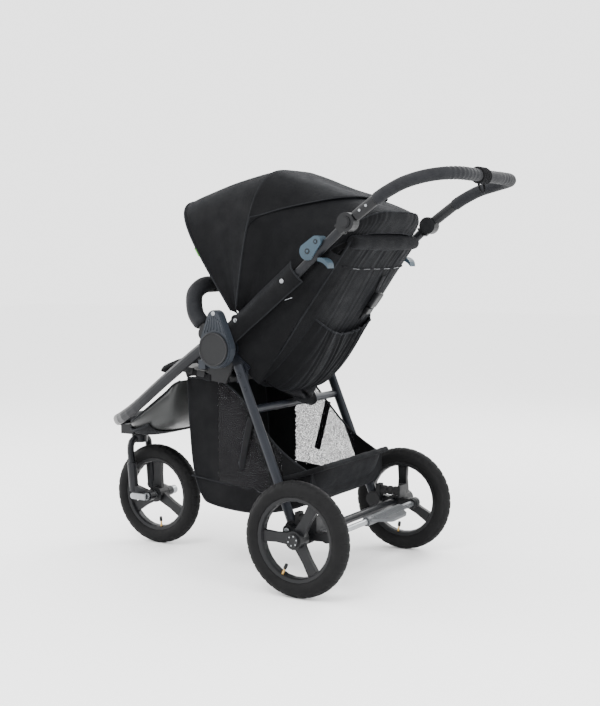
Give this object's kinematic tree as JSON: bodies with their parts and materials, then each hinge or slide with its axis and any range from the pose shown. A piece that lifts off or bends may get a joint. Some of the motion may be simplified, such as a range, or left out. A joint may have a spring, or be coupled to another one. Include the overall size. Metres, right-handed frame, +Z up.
{
  "type": "baby stroller",
  "caption": "Folding three-wheel baby stroller with tilting handlebar, reclining padded seat, arched canopy, bumper bar, basket, sprung rear axle and swivelling front fork.",
  "frame": {"origin": "on the floor, under the middle of the stroller's box", "axes": "+Z up, +Y to the rear, where the handlebar is, +X to the left side of a seated child"},
  "size_m": [0.648, 1.224, 1.094],
  "materials": {
    "frame": "satin black anodised",
    "leg": "satin blue-black anodised",
    "plastic": "fine matte",
    "trigger": "matte blue-grey",
    "steel": "satin",
    "fabric": "woven black",
    "panel": "semi-gloss coated fabric",
    "pedal": "ribbed grey",
    "foam": "matte foam",
    "tyre": "matte rubber",
    "rubber": "matte"
  },
  "bodies": {
    "chassis": {"front_frame": "frame", "hub_housing_left": "plastic", "hub_housing_right": "plastic", "hub_cover_left": "plastic", "hub_cover_right": "plastic", "side_plate_left": "plastic", "side_plate_right": "plastic", "fork_head": "plastic", "seat_board": "plastic", "seat_cushion": "fabric", "foot_well": "panel", "basket": "fabric"},
    "swivel_lock": {"swivel_lock": "plastic"},
    "rear_legs": {"leg_left": "leg", "leg_right": "leg", "leg_foot_left": "plastic", "leg_foot_right": "plastic", "rear_crossbar": "leg", "basket_frame": "frame", "spring_left": "rubber", "spring_right": "rubber"},
    "rear_axle": {"swing_arm_left": "plastic", "swing_arm_right": "plastic", "axle_tube": "frame"},
    "brake": {"brake_bar": "steel", "brake_pedal": "pedal"},
    "wheel_rear_left": {"wheel_rear_left_tyre": "tyre", "wheel_rear_left_rim": "plastic", "wheel_rear_left_cap": "plastic"},
    "wheel_rear_right": {"wheel_rear_right_tyre": "tyre", "wheel_rear_right_rim": "plastic", "wheel_rear_right_cap": "plastic"},
    "fork": {"fork_crown": "frame", "fork_leg_left": "frame", "fork_leg_right": "frame", "front_axle": "steel"},
    "quick_release": {"quick_release": "steel"},
    "wheel_front": {"wheel_front_tyre": "tyre", "wheel_front_rim": "plastic"},
    "upper_frame": {"push_tube_left": "frame", "push_tube_right": "frame", "handle_joint_left": "plastic", "handle_joint_right": "plastic", "fold_latch_left": "trigger", "fold_latch_right": "trigger", "canopy_fabric_rear": "fabric"},
    "handle_button_left": {"handle_button_left": "plastic"},
    "handle_button_right": {"handle_button_right": "plastic"},
    "fold_lever_left": {"fold_lever_left": "trigger"},
    "fold_lever_right": {"fold_lever_right": "trigger"},
    "handlebar": {"handle_arm_left": "plastic", "handle_arm_right": "plastic", "handle_grip": "foam"},
    "canopy_mid": {"canopy_bow_middle": "steel", "canopy_fabric_front": "fabric"},
    "canopy_front": {"canopy_bow_front": "steel"},
    "seat_back": {"seat_back": "fabric"},
    "bumper": {"bumper_bar": "foam"},
    "calf_rest": {"calf_rest": "fabric"}
  },
  "joints": [
    {"name": "frame_fold", "type": "hinge", "parent": "chassis", "child": "upper_frame", "pos_m": [0, -0.056, 0.62], "axis": [1, 0, 0], "range_deg": [0, 140]},
    {"name": "rear_leg_fold", "type": "hinge", "parent": "chassis", "child": "rear_legs", "pos_m": [0, -0.056, 0.62], "axis": [-1, 0, 0], "range_deg": [0, 52], "deforming": ["basket"]},
    {"name": "canopy_mid", "type": "hinge", "parent": "upper_frame", "child": "canopy_mid", "pos_m": [0, -0.019, 0.698], "axis": [1, 0, 0], "range_deg": [-29.4, 0], "deforming": ["canopy_fabric_rear"]},
    {"name": "canopy_front", "type": "hinge", "parent": "canopy_mid", "child": "canopy_front", "pos_m": [0, -0.019, 0.698], "axis": [1, 0, 0], "range_deg": [-35, 0], "deforming": ["canopy_fabric_front"]},
    {"name": "bumper_swing", "type": "hinge", "parent": "chassis", "child": "bumper", "pos_m": [0, -0.14, 0.655], "axis": [1, 0, 0], "range_deg": [0, 88.1]},
    {"name": "recline", "type": "hinge", "parent": "upper_frame", "child": "seat_back", "pos_m": [0, 0.022, 0.545], "axis": [1, 0, 0], "range_deg": [-35, 0]},
    {"name": "handle_tilt", "type": "hinge", "parent": "upper_frame", "child": "handlebar", "pos_m": [0, 0.324, 0.946], "axis": [1, 0, 0], "range_deg": [-70, 50]},
    {"name": "handle_button_left", "type": "slide", "parent": "upper_frame", "child": "handle_button_left", "axis": [-1, 0, 0], "range_m": [0, 0.004], "stiffness_N_per_m": 900, "springref_m": -0.003},
    {"name": "handle_button_right", "type": "slide", "parent": "upper_frame", "child": "handle_button_right", "axis": [1, 0, 0], "range_m": [0, 0.004], "stiffness_N_per_m": 900, "springref_m": -0.003},
    {"name": "fold_lever_left", "type": "hinge", "parent": "upper_frame", "child": "fold_lever_left", "pos_m": [0.233, 0.248, 0.854], "axis": [1, 0, 0], "range_deg": [0, 20], "stiffness_Nm_per_rad": 0.6, "springref_deg": -17.19},
    {"name": "fold_lever_right", "type": "hinge", "parent": "upper_frame", "child": "fold_lever_right", "pos_m": [-0.233, 0.248, 0.854], "axis": [1, 0, 0], "range_deg": [0, 20], "stiffness_Nm_per_rad": 0.6, "springref_deg": -17.19},
    {"name": "calf_rest", "type": "hinge", "parent": "chassis", "child": "calf_rest", "pos_m": [0, -0.262, 0.575], "axis": [1, 0, 0], "range_deg": [0, 60]},
    {"name": "front_swivel", "type": "hinge", "parent": "chassis", "child": "fork", "pos_m": [0, -0.533, 0.335], "axis": [0, 0, 1], "continuous": true},
    {"name": "swivel_lock", "type": "hinge", "parent": "chassis", "child": "swivel_lock", "pos_m": [0, -0.583, 0.355], "axis": [1, 0, 0], "range_deg": [-25, 0]},
    {"name": "front_wheel_spin", "type": "hinge", "parent": "fork", "child": "wheel_front", "pos_m": [0, -0.462, 0.15], "axis": [1, 0, 0], "continuous": true},
    {"name": "quick_release", "type": "hinge", "parent": "fork", "child": "quick_release", "pos_m": [0.07, -0.462, 0.15], "axis": [0, 0, 1], "range_deg": [0, 110]},
    {"name": "rear_suspension", "type": "hinge", "parent": "rear_legs", "child": "rear_axle", "pos_m": [0, 0.157, 0.158], "axis": [1, 0, 0], "range_deg": [0, 8], "stiffness_Nm_per_rad": 120, "springref_deg": -4.01, "deforming": ["spring_left", "spring_right"]},
    {"name": "rear_left_wheel_spin", "type": "hinge", "parent": "rear_axle", "child": "wheel_rear_left", "pos_m": [0.3, 0.212, 0.15], "axis": [1, 0, 0], "continuous": true},
    {"name": "rear_right_wheel_spin", "type": "hinge", "parent": "rear_axle", "child": "wheel_rear_right", "pos_m": [-0.3, 0.212, 0.15], "axis": [1, 0, 0], "continuous": true},
    {"name": "brake_pedal", "type": "hinge", "parent": "rear_axle", "child": "brake", "pos_m": [0, 0.272, 0.152], "axis": [-1, 0, 0], "range_deg": [0, 25]}
  ],
  "couplings": [
    {"joint": "rear_leg_fold", "follows": "frame_fold", "ratio": 0.3714},
    {"joint": "canopy_mid", "follows": "frame_fold", "ratio": -0.21},
    {"joint": "canopy_front", "follows": "frame_fold", "ratio": -0.25},
    {"joint": "bumper_swing", "follows": "frame_fold", "ratio": 0.6286}
  ]
}
